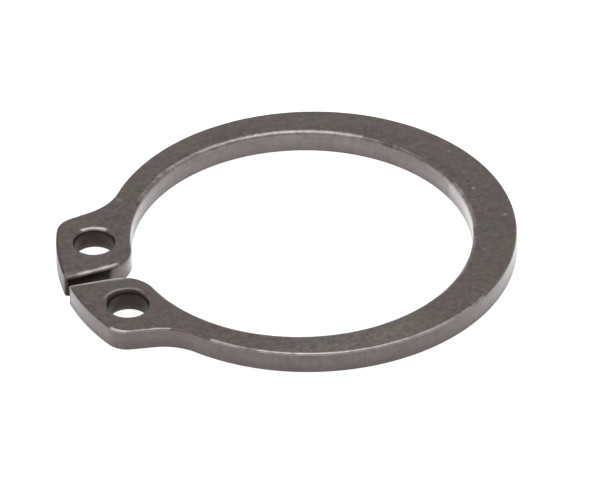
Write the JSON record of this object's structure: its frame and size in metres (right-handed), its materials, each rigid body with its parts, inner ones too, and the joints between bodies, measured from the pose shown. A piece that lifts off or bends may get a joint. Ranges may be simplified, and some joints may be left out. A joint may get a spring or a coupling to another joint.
{
  "type": "external snap ring",
  "caption": "Flat stamped spring-steel snap ring for a shaft groove, widest opposite its gap, with two eared ends drilled for pliers.",
  "frame": {"origin": "centre of the free bore, on the flat underside with the sharp edges", "axes": "+Z along the shaft's axis, towards the face with the rolled edges; +X away from the gap, to where the band is widest; +Y completes the right-handed frame"},
  "size_m": [0.025, 0.0224, 0.0012],
  "materials": {
    "spring_steel": "dark satin, phosphated and oiled"
  },
  "bodies": {
    "root": {"snap_ring": "spring_steel"}
  },
  "joints": []
}
